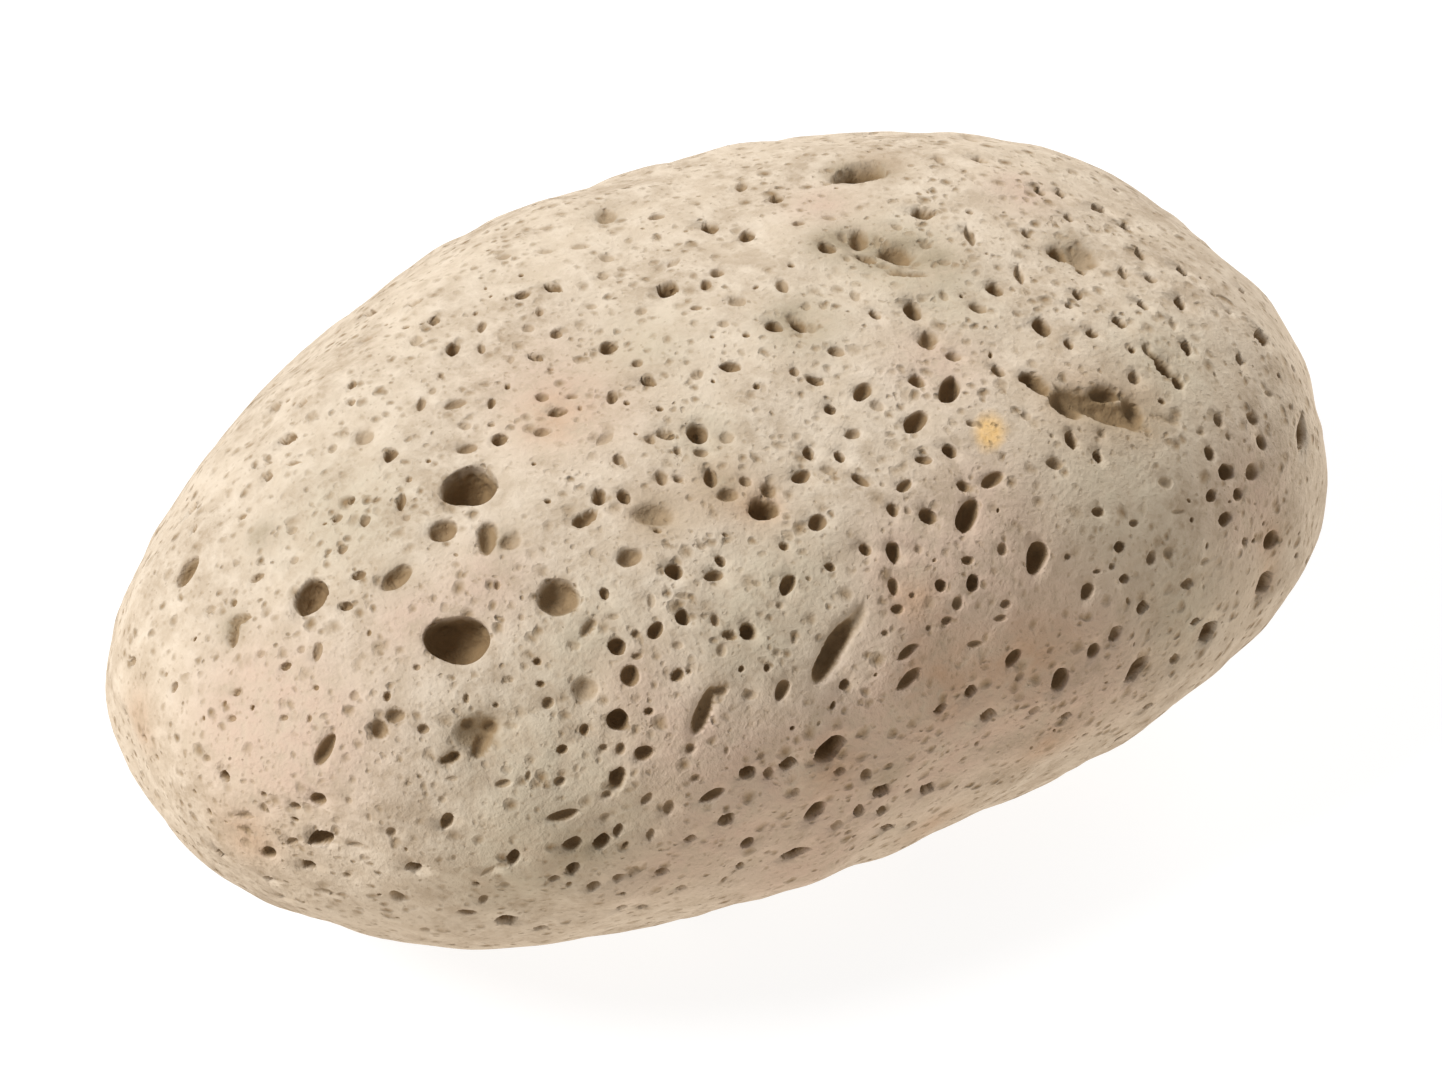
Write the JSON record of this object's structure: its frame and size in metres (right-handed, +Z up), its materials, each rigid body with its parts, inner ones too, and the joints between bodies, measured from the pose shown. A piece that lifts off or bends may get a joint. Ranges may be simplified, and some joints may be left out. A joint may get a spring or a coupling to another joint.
{
  "type": "pumice stone",
  "caption": "Hand-sized rounded block of pumice, worn smooth and pitted by burst gas bubbles, for rubbing skin or standing as a loose stone.",
  "frame": {"origin": "on the flat worn patch that the stone lies on, under the middle of its box", "axes": "+X along the stone's length, +Y across its width to the rubbed-off back corner's side, +Z up from the resting patch"},
  "size_m": [0.1018, 0.0634, 0.0481],
  "materials": {
    "pumice": "matte"
  },
  "bodies": {
    "root": {"pumice_stone": "pumice"}
  },
  "joints": []
}
